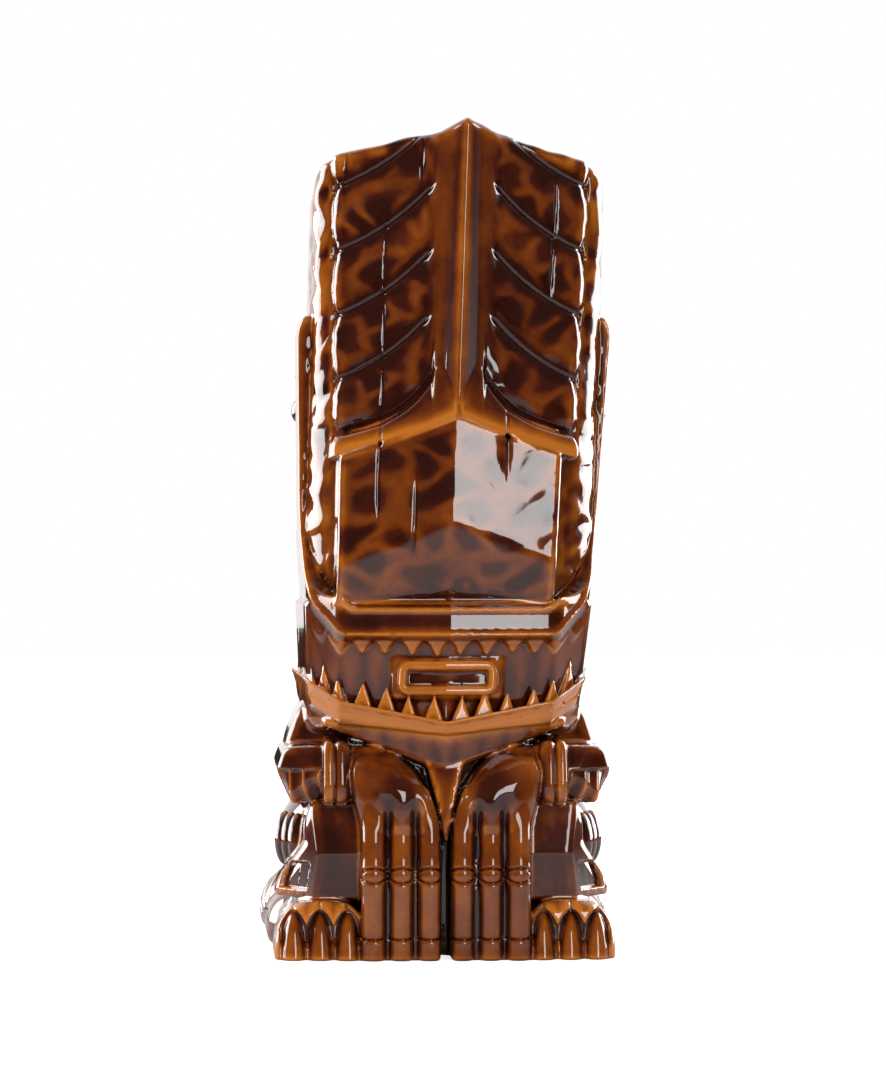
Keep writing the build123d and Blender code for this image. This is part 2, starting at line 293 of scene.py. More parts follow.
def brow(side):
    def shape(x, f, z):
        u = side * straight(x, z)
        a = np.maximum(u, 0)
        low = brow_low(a)
        face = (f - 42.2 + 0.17 * a + 0.002 * a * a + 0.44 * (z - low)) * 0.9
        band = smax((z - brow_top(a)) * 0.8, (low - z) * 0.9, 0.8)
        return all_of(0.9, face, band, u - 29.2, 18.0 - f, -0.3 - u)

    return shape


# ---- the face ----
def snout(x, f, z):
    b = BOX["snout"]
    middle = straight(x, z) + 1.3
    a = np.abs(straight(x, z) + 0.5)
    prow = 0.168 * a + 0.986 * f - (b.f1 - 0.2) * 0.986 + 0.05 * np.maximum(z - 103.0, 0)
    under = 0.92 * (f - b.f1) - 0.395 * (z - b.z0 - 18.8)
    sides = np.abs(middle) - (b.wide - 0.7) - 0.015 * (z - 100.0)
    return all_of(1.3, prow, under, sides, z - brow_low(a) - 0.3, b.z0 - z, 14.0 - f)


def mouth_plan(x, f, z, grow=0.0):
    """Outside of the lips seen from above, moved out by grow."""
    a = np.abs(x)
    front = BOX["upper_lip"].f1
    return all_of(
        1.6,
        0.168 * a + 0.986 * f - 0.986 * front - grow,
        0.78 * a + 0.625 * f - 43.3 - grow,
        0.993 * a + 0.08 * f - 36.6 - 0.05 * np.maximum(z - 84.0, 0) - grow,
    )


def strap_outline(x, z):
    """Outer outline of the strap seen from in front; it sits a little to the left."""
    b = BOX["upper_lip"]
    a = np.abs(straight(x, z) + 0.6 * fade(z, 80, 110))
    outline = [(-50, b.z0), (26.5, b.z0), (34.9, b.z0 + 9), (37.0, b.z0 + 25), (38.9, b.z1 - 4),
               (36, b.z1), (-50, b.z1)]
    return convex(a, z, outline, 1.2)


def upper_lip(x, f, z):
    """One strap: a bar across the mouth that bends up at the elbows and runs on beside the head."""
    b = BOX["upper_lip"]
    u = straight(x, z)
    a = np.abs(u)
    outer = strap_outline(x, z)
    hole = [(-50, 84.2), (24.5, 84.2), (30.6, 90.5), (32.0, 104), (32.6, 170), (-50, 170)]
    inner = convex(a, z, hole, 1.6)
    ring = smax(outer, -inner, 1.2)
    post = convex(f, z, [(3, 84), (16, 84), (15, b.z1), (4, b.z1)], 2.0)
    bar = convex(f, z, [(-3, b.z0 - 2), (50, b.z0 - 2), (50, 86), (-3, 86)], 2.0)
    elbow = convex(f, z, [(-3, 80), (34, 80), (14, 102), (-3, 102)], 3.0)
    edge = np.interp(outer, (-8.8, -7.8, -6.6, -3.4, -1.9, 0.0), (-1.6, 0.0, -0.7, -0.7, 0.0, -2.2))
    return all_of(0.8, ring, any_of(4.0, post, bar, elbow), mouth_plan(u, f, z, edge))


LIP_CORNER = 25.0  # where the lower lip's edges turn up


def above_line(a, z, level, slope, steep):
    """Height over an edge that climbs gently to the corner of the mouth and then steeply."""
    edge = level + slope * np.minimum(a, LIP_CORNER) + steep * np.maximum(a - LIP_CORNER, 0)
    return (z - edge) * np.where(a > LIP_CORNER, 0.86, 0.98)


LIP_SLOPE, LIP_STEEP = 0.19, 0.62


def above_lip(a, z):
    return above_line(a, z, BOX["lower_lip"].z0 + 4.1, LIP_SLOPE, LIP_STEEP)


def lower_lip(x, f, z):
    """A rim that leans in towards the chin, with a gutter behind it for the teeth."""
    b = BOX["lower_lip"]
    u = straight(x, z)
    a = np.abs(u)
    above = above_lip(a, z)
    band = smax(above, -above_line(a, z, b.z0 + 0.9, 0.10, 0.55), 0.8)
    tuck = 0.36 * np.maximum(-above, 0) - 0.5 * fade(1.5 + above, 0, 1.5)
    gutter = smax(mouth_plan(u, f, z, -2.6), -above - 2.6, 0.8)
    return all_of(0.8, smax(band, -gutter, 0.8), mouth_plan(u, f, z, -0.9) + tuck + 0.4, -8.0 - f)


def mouth_back(x, f, z):
    """The smooth wall that the teeth stand against, leaning out over the lower lip."""
    u = straight(x, z)
    a = np.abs(u)
    lean = 0.17 * (z - 70.0)
    wall = all_of(
        1.6,
        0.168 * a + 0.986 * f - 0.986 * BOX["upper_lip"].f1 + 4.8 - lean,
        0.78 * a + 0.625 * f - 40.0 - lean,
        0.99 * a + 0.05 * f - 34.2 - 0.5 * lean,
    )
    return all_of(1.0, wall, above_line(a, z, 54.0, 0.10, 0.0) * -1.0, z - 85.0, -5.0 - f)


TOOTH_ROW = ((0.0, 37.4), (24.6, 33.2), (33.4, 22.5), (35.0, 6.0))
TOOTH_PITCH = 5.95


def row_point(along):
    """Place and heading along the row of teeth."""
    for (u0, v0), (u1, v1) in zip(TOOTH_ROW, TOOTH_ROW[1:]):
        length = math.hypot(u1 - u0, v1 - v0)
        if along <= length:
            break
        along -= length
    c, s = (u1 - u0) / length, (v1 - v0) / length
    return u0 + c * along, v0 + s * along, c, s


def teeth(hang):
    """A row of uneven teeth on each side of the mouth: triangles above, cones below."""
    draw = np.random.default_rng(SEED + hang)
    cones = []
    for side in (-1, 1):
        for i in range(8):
            along = TOOTH_PITCH * (i + 0.5) + draw.uniform(-0.6, 0.6)
            size = draw.uniform(0.86, 1.14)
            u, v, c, s = row_point(along)
            if hang:
                root = BOX["upper_lip"].z0 + 1.2 + 1.0 * max(0.0, u - 27.0)
                length, radius, square = 4.4 * size, 2.9, 3.0
            else:
                edge = BOX["lower_lip"].z0 + 4.1 + LIP_SLOPE * min(u, LIP_CORNER)
                edge += LIP_STEEP * max(0, u - LIP_CORNER)
                root, length, radius, square = edge - 1.6, 6.6 * size, 2.5 * size, 2.0
            cones.append((side * u, v, root, c, side * s, length, radius, square))

    def shape(x, f, z):
        u = straight(x, z)
        result = None
        for middle, v, root, c, s, length, radius, square in cones:
            near_x, near_f = u - middle, f - v
            t = (root - z) if hang else (z - root)
            run = near_x * c + near_f * s
            out = -near_x * s + near_f * c
            across = (np.abs(run) ** square + np.abs(out * 1.1) ** square + 0.02) ** (1 / square)
            taper = radius * np.clip(1.0 - t / length, -0.2, 1.1)
            cone = smax((across - taper) * 0.85, -t - 1.2, 0.4)
            result = cone if result is None else np.minimum(result, cone)
        return smax(result, mouth_plan(u, f, z, -2.0 if hang else -2.9), 0.5)

    return shape


def tongue(x, f, z):
    b = BOX["tongue"]
    a = np.abs(straight(x, z))
    centre = (b.z0 + b.z1) / 2
    body = all_of(1.5, a - 13.4, np.abs(z - centre) - 5.0, 0.15 * a + f - 36.6, 24.0 - f)
    slot = convex(a, z, [(-20, centre - 1.6), (8.6, centre - 1.6), (10.4, centre), (8.6, centre + 1.9),
                         (-20, centre + 1.9)], 1.0)
    return smax(body, -smax(slot, 35.2 - f, 0.5), 0.6)


def tongue_frame(x, f, z):
    """A rounded bar bent round the mouth of the tongue."""
    b = BOX["tongue_frame"]
    half_x, half_z, corner = b.wide - 0.9, (b.z1 - b.z0) / 2 - 1.3, 1.6
    px = np.abs(straight(x, z)) - half_x + corner
    pz = np.abs(z - (b.z0 + b.z1) / 2) - half_z + corner
    loop = np.hypot(np.maximum(px, 0), np.maximum(pz, 0)) + np.minimum(np.maximum(px, pz), 0) - corner
    return np.sqrt(loop ** 2 + (0.75 * (f + 0.15 * np.abs(x) - 37.4)) ** 2) - 1.15


def chin(x, f, z):
    b = BOX["chin"]
    a = np.abs(straight(x, z))
    low = np.interp(a, (0, 1.5, 8, 17, 28), (b.z0 - 0.8, b.z0, 47.2, 50.6, 55.0))
    facets = 0.30 * a + 0.93 * f - 34.0 - 0.30 * (z - 50)
    keel = 0.9 * (f - 36.4) - 0.35 * (z - 50.0) + 0.1 * a
    return all_of(1.0, (low - z) * 0.86, smax(facets, keel, 0.6), z - 54.0 - 0.1 * a, a - 29.0, 10.0 - f)


def cheek(side):
    b = BOX["cheek_right"]

    def shape(x, f, z):
        u = side * straight(x, z)
        rim_line = [(-24, 62), (-17, b.z0), (4, b.z0 + 1), (4, b.z1), (-17, b.z1), (-24, 140)]
        groove_line = [(-19, 70), (-14, 66), (0, 66), (0, 124), (-14, 124), (-19, 120)]
        plate, inset = convex(f, z, rim_line, 3.0), convex(f, z, groove_line, 2.0)
        outside = u - mixed(fade(z, 84, 96), 34.4, 35.3)
        return all_of(1.5, plate, outside, 25.0 - u) + notch(np.abs(inset), 0.9, 0.8)

    return shape


def ear_knobs(side):
    b = BOX["ear_knobs_right"]

    def shape(x, f, z):
        u = side * straight(x, z)
        small = ellipsoid(u, f, z, (b.x0 - 1.3, -3.0, b.z1 - 3.0), (2.8, 3.0, 2.8))
        large = ellipsoid(u, f, z, (b.x0 - 1.3, -4.0, b.z0 + 3.4), (3.4, 4.0, 3.6))
        return smin(small, large, 0.3)

    return shape


# ---- the arms and legs, each shape given for the right half ----
FINGERS = ((3.9, 2.8), (10.6, 2.8), (17.2, 2.95))  # middle and half width
GAPS = (7.35, 13.8)
WEB = 31.0  # level at which the fingers part
KNUCKLES = (21.6, 18.9, 5.2)
HAND_FRONT = 41.7


def valleys(u, z):
    """Hollows that run up from between the fingers and fade out over the back of the hand."""
    up = fade(z, WEB - 1.5, WEB + 12.0)
    depth = 0.0
    for gap in GAPS:
        depth = depth + 3.2 * (1 - up) ** 1.5 * np.exp(-(((u - gap) / mixed(up, 0.95, 2.2)) ** 2))
    return depth


def fingers(u, f, z):
    b = BOX["hand_right"]
    front = HAND_FRONT - 0.003 * np.maximum(16 - z, 0) ** 2 - 0.05 * np.maximum(z - 28, 0) ** 1.6
    result = None
    for middle, half in FINGERS:
        swell = 0.22 * np.exp(-(((z - 20.2) / 2.6) ** 2)) + 0.10 * np.exp(-(((z - 2.6) / 2.0) ** 2))
        across = np.abs(u - middle) / (half + swell)
        depth = np.maximum(f - (front - 3.6), 0) / (3.6 + swell)
        column = (np.power(across ** 2.15 + depth ** 2.15 + 1e-4, 1 / 2.15) - 1) * half
        result = column if result is None else np.minimum(result, column)
    backing = all_of(0.5, f - 38.2, np.abs(u - 10.5) - 9.0)
    inner = convex(u, z, [(1.0, -10), (40, -10), (40, 60), (12.5, b.z1 - 1.2), (8.3, 46.8), (4.8, 42),
                          (2.4, 36), (1.1, 29)], 1.0)
    return all_of(0.9, np.minimum(result, backing), inner, z - 41.0, -z, 18.0 - f)


def hand(u, f, z):
    b = BOX["hand_right"]
    corners = [(1.3, WEB - 1), (19.9, WEB - 1), (23.4, 43.5), (23.3, 46.3), (21.8, 48.6),
               (18.6, b.z1 - 1.2), (12.5, b.z1 - 1.2), (8.3, 46.8), (4.8, 42), (2.4, 36)]
    outline = convex(u, z, corners, 2.2)
    out = f - HAND_FRONT - 0.5 * fade(z, WEB - 1, WEB + 8)
    back = all_of(
        3.4,
        out,
        0.538 * (u - 16.5) + 0.843 * out,
        -0.40 * (u - 4.0) + 0.917 * out,
        0.60 * out + 0.80 * (z - 43.5),
        -0.30 * (u - 7.0) + 0.60 * out + 0.74 * (z - 40.5),
    )
    return all_of(2.4, outline, back + valleys(u, z), 18.0 - f)


def wrist(u, f, z):
    b = BOX["wrist_right"]
    cuff = convex(f, z, [(20, 37.0), (37.2, 37.0), (38.2, 43), (35.0, b.z1 - 0.4), (20, b.z1 + 1)], 2.0)
    across = np.abs(np.abs(u - 26.2) - 1.35)
    bow = 0.20 * across ** 2 + notch(u - 26.2, 0.6, 0.35)
    return all_of(0.9, cuff + bow, slab(u, 22.3, 28.9))


def forearm(u, f, z):
    b = BOX["forearm_right"]
    end_on = [(15, b.z0 - 1), (36.4, b.z0 - 1), (40.0, 44.5), (38.4, 49.6), (32, b.z1 + 1.5),
              (15, b.z1 + 1.5)]
    side_on = [(-18, b.z0 - 1.5), (30, b.z0 - 1.5), (35.5, 43), (32.0, b.z1), (-14, b.z1 + 1),
               (-25, 46)]
    section, reach = convex(u, z, end_on, 1.0), convex(f, z, side_on, 1.6)
    front = 0.62 * u + 0.785 * f - 47.3
    wrap = (0.785 * u - 0.62 * f) / 3.9
    ribs = 0.75 * np.abs(np.cos(wrap * math.pi)) ** 0.7 * fade(45.4 - z, 0, 0.9)
    return all_of(1.0, section, reach, front) + ribs


def shoulder(u, f, z):
    b = BOX["shoulder_right"]
    front = convex(u, z, [(15, 49), (37.8, 49), (37.0, 54), (33.0, b.z1), (22, b.z1 + 2.5),
                          (15, b.z1 + 2.5)], 2.0)
    reach = convex(f, z, [(-25, 48), (17, 48), (19, 53), (10, b.z1 + 1), (-20, b.z1 + 1)], 3.0)
    return all_of(2.0, front, reach, 0.5 * u + 0.866 * f - 29.5, 0.6 * u - 0.8 * f - 38.0)


# ---- the legs ----
CHAMFER = 43.4  # distance of the shin's outer chamfer from the middle line


def chamfer_plane(u, f):
    return 0.857 * u + 0.515 * f - CHAMFER


def shin(u, f, z):
    b = BOX["shin_right"]
    upper = convex(u, z, [(17, 14), (33.0, 14), (33.4, 33), (31.6, b.z1), (17, b.z1)], 1.4)
    flare = convex(u, z, [(17, 14), (40.4, 14), (40.0, 17.5), (33.0, 27.8), (17, 27.8)], 1.2)
    front = smax(f + 0.20 * (z - 25.2) - 34.4, f - 0.20 * (z - 25.2) - 34.4, 0.4)
    block = all_of(1.2, smin(upper, flare, 1.2), front, chamfer_plane(u, f), 4.0 - f, 19.5 - u)
    return smin(block, ellipsoid(u, f, z, (24.5, 12, 27), (9.5, 15.0, 10.0)), 1.5)


def thigh(u, f, z):
    b = BOX["thigh_right"]
    bulk = ellipsoid(u, f, z, (26, -12, 26), (13.0, 24, 14.5))
    return all_of(2.5, bulk, z - b.z1 - 1.0, 8.0 - z)


def haunch(u, f, z):
    b = BOX["haunch_right"]
    seat = ellipsoid(u, f, z, (27, -25, 8), (b.x1 - 27.2, -b.f0 - 25.4, 13.0))
    heel = ellipsoid(u, f, z, (34, -12, 5), (8, 13, 9))
    sole = ellipsoid(u, f, z, (33, 2, 0), (6.5, 14, 9))
    return all_of(1.2, any_of(2.0, seat, heel, sole), -z)


CLAWS = (23.3, 29.8, 36.1)
CLAW_HALF = 2.85
ARCH_TOP, ARCH_FOOT = 12.0, 8.2  # of the pointed arches over the claws


def arch(u, z, half, top, low):
    """Inside the pointed arches round the claws."""
    across = np.minimum(np.minimum(np.abs(u - CLAWS[0]), np.abs(u - CLAWS[1])), np.abs(u - CLAWS[2]))
    return across - half * np.sqrt(np.clip((top - z) / (top - low), 0.0, 1.0) + 1e-4)


def toe_front(u):
    return BOX["foot_right"].f1 - 0.3 - 0.09 * (u - 22)


def foot(u, f, z):
    front = f - toe_front(u)
    block = all_of(
        3.5,
        slab(u, 19.1, 40.5, 3.0),
        z - 14.2,
        front,
        0.60 * (f - 37.5) + 0.80 * (z - 13.6),
        0.80 * (u - 36.8) + 0.60 * (z - 13.0),
        -0.70 * (u - 21.5) + 0.71 * (z - 13.2),
        3.0 - f,
    )
    hollow = all_of(0.4, arch(u, z, 3.15, ARCH_TOP, ARCH_FOOT) * 0.8, -front - 3.6)
    return all_of(0.7, block, -hollow, -z)


def claws(u, f, z):
    blade = arch(u, z, CLAW_HALF, ARCH_TOP - 0.9, 3.0)
    depth = np.maximum(f - toe_front(u) + 3.2 - 0.10 * (6.0 - z), 0) * 0.78
    width = CLAW_HALF * np.sqrt(np.clip((ARCH_TOP - 0.9 - z) / 8.0, 0.0, 1.0) + 1e-4)
    nail = np.hypot(np.maximum(blade + width, 0), depth) - width
    return all_of(0.5, nail * 0.85, -z, z - ARCH_TOP, toe_front(u) - 7.0 - f)


def calf_ribs(u, f, z):
    result = None
    for i in range(3):
        bow = 2.2 * np.cos((z - 26.5) / 12.0 * math.pi) - 2.2
        rib = ellipsoid(u, f - bow, z, (34.4 + 1.5 * i, 12.0 - 5.0 * i, 26.8), (2.6, 3.0, 6.6))
        result = rib if result is None else np.minimum(result, rib)
    return result


def along_chamfer(u, f, z):
    """Distance round the shin's chamfer from the window's middle slat, slanted with the slats."""
    return 0.515 * (u - 35.5) - 0.857 * (f - 25.0) + 0.25 * (z - 19.5)


def window(u, f, z):
    """Depth of the sunk frame around the slats."""
    w = along_chamfer(u, f, z)
    inside = all_of(0.8, slab(z, 15.9, 23.0), np.abs(w) - 6.4, np.abs(chamfer_plane(u, f)) - 3.0)
    return 1.5 * fade(-inside, 0.0, 0.7)


def shin_slats(u, f, z):
    w = along_chamfer(u, f, z)
    result = None
    for middle in (-3.9, 0.0, 3.9):
        sunk = slab(chamfer_plane(u, f), -2.5, -0.1)
        bar = all_of(0.5, np.abs(w - middle) - 1.05, slab(z, 15.4, 22.4), sunk)
        result = bar if result is None else np.minimum(result, bar)
    return result


# ---- carved and hammered detail, as depth below the smooth surface ----
VEIN_PITCH = 15.7
VEIN_TOP = 201.4
CRACKS = (  # side, distance from the middle, top and bottom
    (-1, 18.0, 183, 101),
    (-1, 28.0, 196, 178),
    (-1, 10.4, 201, 180),
    (-1, 9.6, 117, 91),
    (1, 22.0, 191, 153),
    (1, 12.0, 136, 112),
)
DIMPLES_AROUND, DIMPLE_RISE = 26, 8.0


def scatter(key):
    """A repeatable number between 0 and 1 for each key."""
    return np.mod(np.sin(key) * 43758.5453, 1.0)


def dimples(x, f, z):
    """Scoops side by side all round the head: (depth from 0 to 1, darkness from 0 to 1)."""
    x, f, z = (c.astype(np.float64) for c in (x, f, z))
    u = np.arctan2(straight(x, z), f + 6.0) / (2 * math.pi) * DIMPLES_AROUND
    v = z / DIMPLE_RISE
    u = u + 0.16 * np.sin(0.37 * z + 0.11 * x) + 0.05 * np.sin(0.83 * z - 0.3 * f)
    v = v + 0.16 * np.sin(0.33 * x + 0.21 * f + 1.0) + 0.05 * np.sin(0.71 * x - 0.4 * z)
    iu, iv = np.floor(u), np.floor(v)
    nearest, second = np.full(u.shape, FAR), np.full(u.shape, FAR)
    strength = np.ones(u.shape)
    for du in (-1, 0, 1):
        for dv in (-1, 0, 1):
            cu, cv = iu + du, iv + dv
            key = np.mod(cu, DIMPLES_AROUND) * 127.1 + cv * 311.7 + SEED
            jitter_u, jitter_v = scatter(key) - 0.5, scatter(key + 74.7) - 0.5
            gap = np.hypot(cu + 0.5 + jitter_u * 0.8 - u, cv + 0.5 + jitter_v * 0.8 - v)
            strength = np.where(gap < nearest, 0.45 + 0.55 * scatter(key + 31.3), strength)
            second = np.minimum(second, np.maximum(nearest, gap))
            nearest = np.minimum(nearest, gap)
    inward = second - nearest
    pool = fade(inward, 0.0, 0.5) * fade(0.78 - nearest, 0.0, 0.6)
    return fade(inward, 0.0, 0.85), pool * strength


def line_depth(distance):
    """A cut line with soft shoulders, so that the skin between lines swells like a pillow."""
    return notch(distance, 0.45, 0.45) + notch(distance, 2.9, 0.95)


def veins(x, f, z):
    """Leaf veins over the crest, and the line that runs down beside the ridge into the brow."""
    a = np.abs(straight(x, z))
    drop = 17.5 * (1 - np.exp(-(a - 6.0) / 20.0)) / 0.713
    phase = (VEIN_TOP - z - drop) / VEIN_PITCH
    index = np.clip(np.round(phase), 0, 3)
    slope = 0.92 * np.exp(-(a - 6.0) / 20.0) * 1.33
    distance = np.abs(phase - index) * VEIN_PITCH / np.sqrt(1 + slope * slope)
    depth = line_depth(distance) * fade(a, 6.3, 8.8)
    steep = BROW_SWEEP / 6.0 * np.exp(-np.maximum(a - 4.0, 0) / 6.0) + 0.2
    brow_line = np.abs(z - brow_top(a) - 0.3) / np.sqrt(1 + steep * steep)
    depth = np.maximum(depth, line_depth(brow_line) * fade(a, 5.6, 6.6))
    return depth * fade(f, 12, 16) * fade(a, 3.5, 5.5) * fade(z, BROW - 8, BROW - 5)


def cracks(x, f, z):
    u = straight(x, z)
    depth = np.zeros(u.shape)
    for side, middle, top, bottom in CRACKS:
        taper = fade(z, bottom, bottom + 9) * fade(top - z, 0, 7)
        away = side * u - middle - 0.3 * np.sin(z * 0.13 + middle)
        near = notch(away, 0.34 + 0.12 * taper, 0.28) + notch(away, 1.6, 0.25)
        depth = np.maximum(depth, near * taper)
    return depth * fade(f, 12, 16)


def lines(x, f, z):
    """Veins and cracks, each of which still shows where the other crosses it."""
    vein, crack = veins(x, f, z), cracks(x, f, z)
    return np.maximum(vein, crack) + 0.6 * np.minimum(vein, crack)


def knuckles(u, f, z):
    depth = np.zeros(u.shape)
    for middle, half in FINGERS:
        across = u - middle
        near = fade(half + 0.3 - np.abs(across), 0, 0.6)
        for level, bend in zip(KNUCKLES, (0.09, -0.11, -0.03)):
            depth = np.maximum(depth, near * notch(z - level + bend * (across * across - 4), 0.33, 0.5))
    return depth * fade(f, 36, 38)


def haunch_lines(u, f, z):
    """Lines that fan out over the haunch."""
    angle = np.arctan2(z - 2.0, -(f + 12.0))
    away = np.hypot(z - 2.0, f + 12.0)
    fan = np.abs(np.mod(angle * 4.2, 1.0) - 0.5) / 4.2 * away
    return notch(fan, 0.45, 0.5) * fade(away, 8, 12) * fade(-f, 16, 20)


# ---- pieces: name, the nodes it stands for, shape, grid step, and its carving ----
PIECES = []


def probe_grid():
    whole_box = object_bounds()
    low = np.array([whole_box[0][0], -whole_box[1][1], whole_box[0][2]]) * 1000 - 4
    high = np.array([whole_box[1][0], -whole_box[0][1], whole_box[1][2]]) * 1000 + 4
    axes = [np.arange(low[n], high[n], PROBE, dtype=np.float32) for n in range(3)]
    return np.meshgrid(*axes, indexing="ij")


PROBES = probe_grid()


class Piece:
    """One member of the figure, with the box that its shape fills."""

    def __init__(self, name, nodes, shape, step, carve=None, stain=None, slot="honey_glaze"):
        self.name, self.nodes, self.shape, self.step = name, nodes, shape, step
        self.carve, self.stain, self.slot = carve, stain, slot
        self.is_cup = name.startswith("cup_")
        inside = shape(*PROBES) < PROBE_HIT
        self.low = np.array([axis[inside].min() for axis in PROBES]) - MARGIN
        self.high = np.array([axis[inside].max() for axis in PROBES]) + MARGIN
        PIECES.append(self)


def head_carving(x, f, z):
    scoop, _ = dimples(x, f, z)
    return mixed(fade(f, 14, 20), 0.6, 0.4) * scoop * fade(z, 86, 90)


def crest_carving(x, f, z):
    scoop, _ = dimples(x, f, z)
    return 0.22 * scoop * fade(np.abs(straight(x, z)), 6.5, 9.5) + lines(x, f, z)


def snout_carving(x, f, z):
    scoop, _ = dimples(x, f, z)
    return 0.08 * scoop * fade(z, 85, 88) + cracks(x, f, z)


def ridge_carving(x, f, z):
    return veins(x, f, z) * 0.5


def dimple_stain(x, f, z):
    """How dark the glaze lies: below 0 on the ridges between scoops, 1 and over in scoops and cut lines."""
    _, pool = dimples(x, f, z)
    cut = fade(lines(x, f, z), 0.35, 1.2) * fade(z, 88, 94)
    return (1.45 * pool - 0.25) * fade(z, 84, 88) + 1.3 * cut


def ridge_stain(x, f, z):
    return 0.75 * fade(np.abs(straight(x, z)), 1.4, 4.2) * fade(z, BROW + 8, BROW + 16)


def strap_stain(x, f, z):
    """Dark in the hollow of the strap, between its beads."""
    return 0.85 * np.exp(-(((strap_outline(x, z) + 5.0) / 1.9) ** 2))


def lip_stain(x, f, z):
    above = above_lip(np.abs(straight(x, z)), z)
    return 3.6 * np.exp(-(((above + 1.5) / 0.8) ** 2))


def hand_stain(u, f, z):
    return 1.1 * np.exp(-(((u - 11.5) / 5.5) ** 2) - ((z - 40.0) / 7.0) ** 2)


def shin_stain(u, f, z):
    return 0.9 * np.exp(-(((u - 27.0) / 4.5) ** 2) - ((z - 25.0) / 8.5) ** 2)


def arm_stain(u, f, z):
    return 0.7 * np.exp(-(((z - 48.0) / 4.0) ** 2))


def mirrored(right, side):
    """A shape, carving or stain given for the right half, for either side."""
    return right and (lambda x, f, z: right(side * x, f, z))


MIDDLE = (  # node, shape, grid step, carving and stain
    ("crest_ridge", ridge, 0.42, ridge_carving, ridge_stain),
    ("snout", snout, 0.42, snout_carving, dimple_stain),
    ("upper_lip", upper_lip, 0.5, None, strap_stain),
    ("lower_lip", lower_lip, 0.45, None, lip_stain),
    ("mouth_back", mouth_back, 0.6, None, None),
    ("upper_teeth", teeth(True), 0.4, None, None),
    ("lower_teeth", teeth(False), 0.4, None, None),
    ("tongue", tongue, 0.4, None, None),
    ("tongue_frame", tongue_frame, 0.33, None, None),
    ("chin", chin, 0.45, None, None),
)
HEAD_PAIRS = (  # the same for each side of the head, with the shape made for a side
    ("crest_panel", panel, 0.4, crest_carving, dimple_stain),
    ("brow", brow, 0.4, lines, None),
    ("cheek", cheek, 0.6, head_carving, dimple_stain),
    ("ear_knobs", ear_knobs, 0.4, None, None),
)
BODY_PAIRS = (  # the same for each side of the body, all given for the right half
    ("shoulder", shoulder, 0.5, None, None),
    ("forearm", forearm, 0.45, None, arm_stain),
    ("wrist", wrist, 0.38, None, None),
    ("hand", hand, 0.42, None, hand_stain),
    ("fingers", fingers, 0.38, knuckles, None),
    ("shin", shin, 0.45, window, shin_stain),
    ("shin_slats", shin_slats, 0.33, None, None),
    ("thigh", thigh, 0.6, None, None),
    ("calf_ribs", calf_ribs, 0.4, None, None),
    ("foot", foot, 0.4, None, None),
    ("claws", claws, 0.38, None, None),
    ("haunch", haunch, 0.6, haunch_lines, None),
)


def build_pieces():
    """Every point belongs to the member whose own field is lowest there."""
    Piece("cup_base", ["base_slab"], base, 0.8, slot="bare_clay")
    Piece("cup_torso", ["torso_shell"], torso, 0.9)
    Piece("cup_head", ["head_shell"], head, 0.8, head_carving, dimple_stain)
    for node, *rest in MIDDLE:
        Piece(f"{node}_glazed", [node], *rest)
    for name, side in (("left", -1), ("right", 1)):
        for part, shape, *rest in HEAD_PAIRS:
            Piece(f"{part}_{name}_glazed", [f"{part}_{name}"], shape(side), *rest)
        for part, shape, step, carve, stain in BODY_PAIRS:
            Piece(f"{part}_{name}_glazed", [f"{part}_{name}"], mirrored(shape, side), step,
                  mirrored(carve, side), mirrored(stain, side))


# ---- the whole figure's field ----
def near(piece):
    """The members whose boxes come near a piece's box."""
    return [p for p in PIECES if np.all(p.low - REACH < piece.high) and np.all(p.high + REACH > piece.low)]


def whole(x, f, z, members, me=None):
    """(field of the whole figure, field of me less the lowest of the others)."""
    union, mine, others, other_cups = (np.full(x.shape, FAR, np.float32) for _ in range(4))
    carved = []
    for piece in members:
        low, high = piece.low - REACH, piece.high + REACH
        here = (x > low[0]) & (x < high[0]) & (f > low[1]) & (f < high[1]) & (z > low[2]) & (z < high[2])
        if not here.any():
            continue
        px, pf, pz = x[here], f[here], z[here]
        value = piece.shape(px, pf, pz)
        union[here] = smin(union[here], value, CREASE)
        if piece is me:
            mine[here] = value
        else:
            others[here] = np.minimum(others[here], value)
            if piece.is_cup:
                other_cups[here] = np.minimum(other_cups[here], value)
        if piece.carve:
            close = np.abs(value) < CARVED
            carved.append((piece, np.flatnonzero(here)[close], value[close]))
    carving = np.zeros(x.size, np.float32)
    for piece, spot, value in carved:
        exposed = fade(0.9 - np.abs(value - union.reshape(-1)[spot]), 0.0, 0.8)
        spot, exposed = spot[exposed > 0], exposed[exposed > 0]
        depth = piece.carve(*(c.reshape(-1)[spot] for c in (x, f, z))) * exposed
        carving[spot] = np.maximum(carving[spot], depth)
    union = union + carving.reshape(x.shape)
    drink = cavity(x, f, z)
    union = smax(union, -drink, 1.6)
    union = smax(union, rim(x, f, z), 2.2)
    claim = mine - others
    if me and me.is_cup:
        claim = np.minimum(claim, np.maximum(drink - LINING, mine - other_cups))
    else:
        claim = np.maximum(claim, LINING - drink)
    return union, claim


def owned(x, f, z, members, me):
    """The closed share of the whole figure that one member owns."""
    field, claim = whole(x, f, z, members, me)
    return np.maximum(field, claim - OVERLAP)


def gradient(function, p, width=0.06):
    """Field and unit gradient at points, from four samples."""
    corners = np.array([[1, 1, 1], [1, -1, -1], [-1, 1, -1], [-1, -1, 1]], float)
    samples = [function(*(p + c * width).T) for c in corners]
    slope = sum(s[:, None] * c for s, c in zip(samples, corners)) / (4 * width)
    value = sum(samples) / 4
    return value, slope


